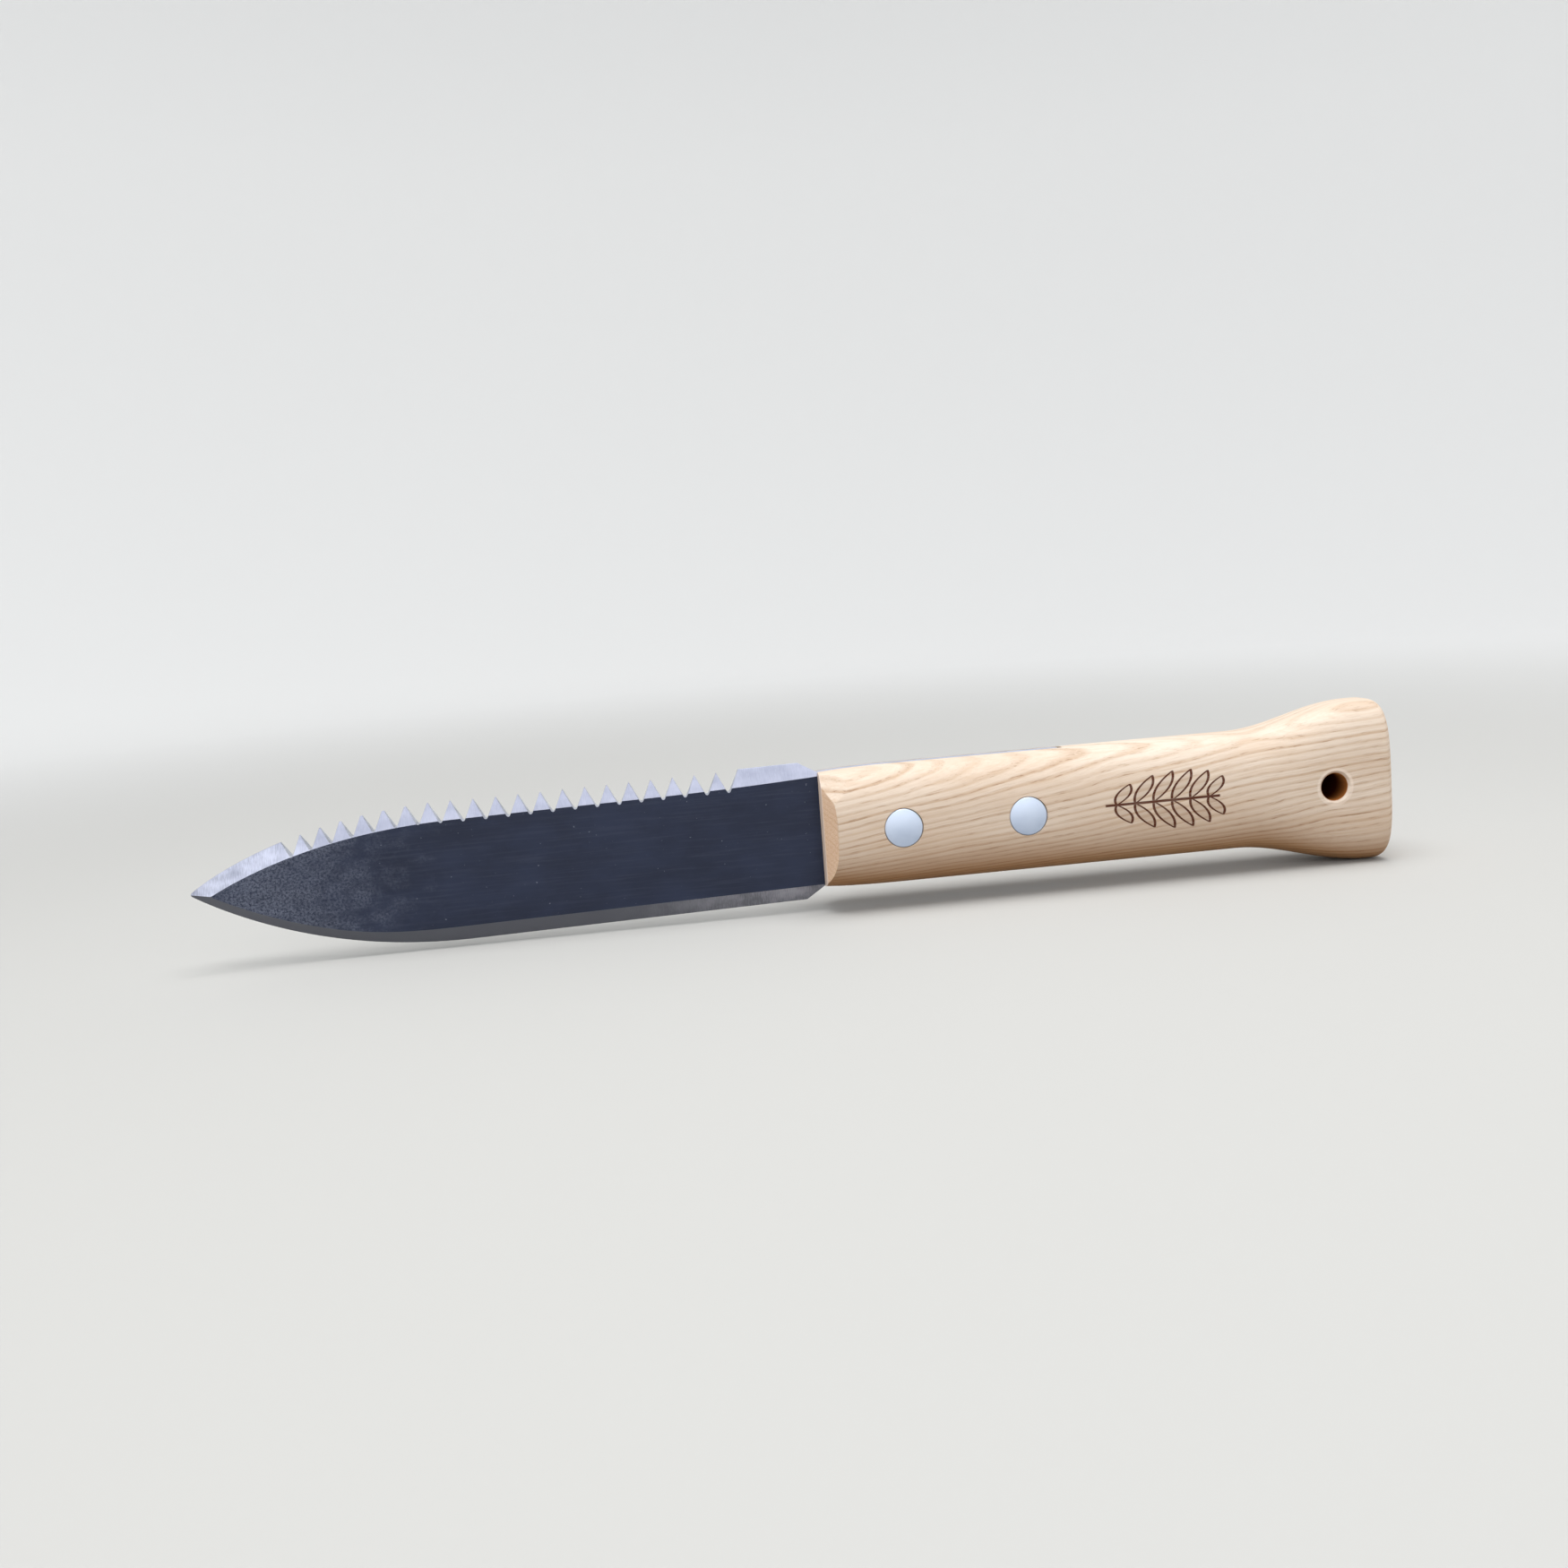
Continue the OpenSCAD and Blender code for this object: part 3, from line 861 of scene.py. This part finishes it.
def hang_hole_wood(f, base):
    """(colour, 1 inside the hole), with a pale worn lip round the hole, and painted shade that darkens the
    wood deeper inside the hole.
    """
    from_hole = f.node("ShaderNodeVectorMath", operation="LENGTH")
    flat = f.vector("MULTIPLY", f.vector("SUBTRACT", f.place, (HANG_X, 0, 0)), (1, 0, 1))
    f.feed(flat, from_hole.inputs[0])
    radius = from_hole.outputs["Value"]
    lip = f.band(f.less(radius, HANG_R + 0.8), 0.65, 0.25)
    base = f.mix(f.times(lip, 0.4), base, colour(230, 214, 200))
    in_hole = f.step(radius, HANG_R + 0.2, HANG_R + 0.05)
    # Painted shade: the hole's wall darkens with depth, from amber end grain at the mouth to near black
    # deep inside.
    clear_of_painted_shade = f.step(f.math("ABSOLUTE", f.y), SIDE - 7.0, SIDE - 0.8)
    inside = f.mix(clear_of_painted_shade, colour(58, 20, 5), colour(150, 94, 48))
    return f.mix(in_hole, base, inside), in_hole


def ash_wood():
    """Pale oiled ash with a leaf mark burnt into it."""
    f = Finish("ash_wood")
    base, rough, height, fine = ash_figure(f)
    base = painted_light_and_end_grain(f, base, fine)
    base, in_hole = hang_hole_wood(f, base)

    burnt = leaf_mark(f)
    char = f.math("MINIMUM", f.add(0.92, f.times(f.less(fine, 0.5), 0.5)), 1.0)
    base = f.mix(f.times(burnt, char), base, colour(70, 24, 10))
    height = f.less(height, f.times(burnt, 1.6))
    sheen = f.times(f.less(1.0, f.math("MAXIMUM", in_hole, burnt)), 0.25)
    normal = f.bump(height, 0.5, 0.06, f.soft_edges(0.4))
    return f.surface(Base_Color=base, Roughness=rough, Specular_IOR_Level=sheen, Normal=normal)


def floor_paint():
    """Matt paint that glows a little further out, so that the background looks even."""
    glow, glow_from, glow_full = 0.27, 250.0, 1150.0
    f = Finish("floor_paint")
    away = f.node("ShaderNodeVectorMath", operation="LENGTH")
    f.feed(f.place, away.inputs[0])
    far = f.step(away.outputs["Value"], glow_from, glow_full)
    tone = f.mix(far, colour(182, 181, 178), colour(204, 204, 203))
    return f.surface(Base_Color=tone, Roughness=0.8, Specular_IOR_Level=0.2,
                     Emission_Color=(1, 1, 1, 1), Emission_Strength=f.times(far, glow))


# ---- Studio ----

def studio_floor(level):
    """A pale floor that curves up all round into a low wall."""
    inner, flat, curve, wall, steps, turns = 0.25, 1.0, 0.7, 0.5, 24, 96
    profile = [(inner, level), (flat, level)]
    for i in range(1, steps + 1):
        a = math.pi / 2 * i / steps
        profile.append((flat + curve * math.sin(a), level + curve * (1 - math.cos(a))))
    profile.append((flat + curve, level + curve + wall))
    points = [(0, 0, level)]
    for radius, z in profile:
        for k in range(turns):
            a = 2 * math.pi * k / turns
            points.append((radius * math.cos(a), radius * math.sin(a), z))
    faces = [(0, 1 + k, 1 + (k + 1) % turns) for k in range(turns)]
    for row in range(len(profile) - 1):
        for k in range(turns):
            a, b = 1 + row * turns + k, 1 + row * turns + (k + 1) % turns
            faces.append((a, a + turns, b + turns, b))
    floor = solid("floor", points, faces)
    smooth_within(floor, 40)
    floor.data.materials.append(floor_paint())
    floor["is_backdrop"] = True


def area_light(name, place, target, size, power, tint=(1, 1, 1)):
    light = bpy.data.lights.new(name, "AREA")
    light.shape = "RECTANGLE"
    light.size, light.size_y = size
    light.energy = power
    light.color = tint
    lamp = bpy.data.objects.new(name, light)
    lamp.location = place
    lamp.rotation_mode = "QUATERNION"
    lamp.rotation_quaternion = (Vector(target) - Vector(place)).to_track_quat("-Z", "Y")
    bpy.context.scene.collection.objects.link(lamp)


def studio_light(middle):
    """An even pale sky, a wide box above the knife and a weaker one on the camera's side."""
    world = bpy.data.worlds.new("sky")
    world.use_nodes = True
    sky = world.node_tree.nodes["Background"]
    sky.inputs["Color"].default_value = (0.92, 0.96, 1.0, 1)
    sky.inputs["Strength"].default_value = 0.5
    bpy.context.scene.world = world
    above = middle + Vector((0.05, -0.12, 1.0))
    area_light("top_box", above, middle, (1.0, 0.7), 13)
    front = middle + Vector((-0.1, -1.0, 0.52))
    area_light("front_box", front, middle, (1.6, 0.7), 3.6, (0.93, 0.97, 1.0))


def photo_camera():
    """Stands a little left of the handle's front and looks slightly down, with a small roll."""
    distance, height, left = 0.344, 0.06057, 0.04492
    azimuth, elevation, roll = math.radians(6.02), math.radians(-7.91), math.radians(-4.37)
    focal_length, frame_width = 1500, 1750
    lens = bpy.data.cameras.new("camera")
    lens.sensor_width = 36
    lens.lens = lens.sensor_width * focal_length / frame_width
    lens.clip_start = 0.01
    camera = bpy.data.objects.new("camera", lens)
    camera.location = (FRONT * MM - left, -distance, height)
    forward = Vector((
        math.sin(azimuth) * math.cos(elevation),
        math.cos(azimuth) * math.cos(elevation),
        math.sin(elevation),
    ))
    camera.rotation_mode = "QUATERNION"
    level = forward.to_track_quat("-Z", "Y")
    camera.rotation_quaternion = level @ Quaternion((0, 0, 1), roll)
    bpy.context.scene.collection.objects.link(camera)
    bpy.context.scene.camera = camera


# ---- The knife ----

def place_piece(piece, node):
    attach(piece, "root")
    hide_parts(node)


place_piece(blade(), "blade")
place_piece(handle(), "handle")
for place in RIVETS:
    place_piece(rivet_stem(place), place + "_rivet_stem")
    place_piece(rivet_tube(place), place + "_rivet_tube")

studio_floor(CAD_BOX[0].z)
studio_light((CAD_BOX[0] + CAD_BOX[1]) / 2)
photo_camera()
bpy.context.scene.view_settings.view_transform = "Standard"

boxes = {"cad": CAD_BOX, "visual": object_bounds()}
{name: [list(corner) for corner in box] for name, box in boxes.items()}
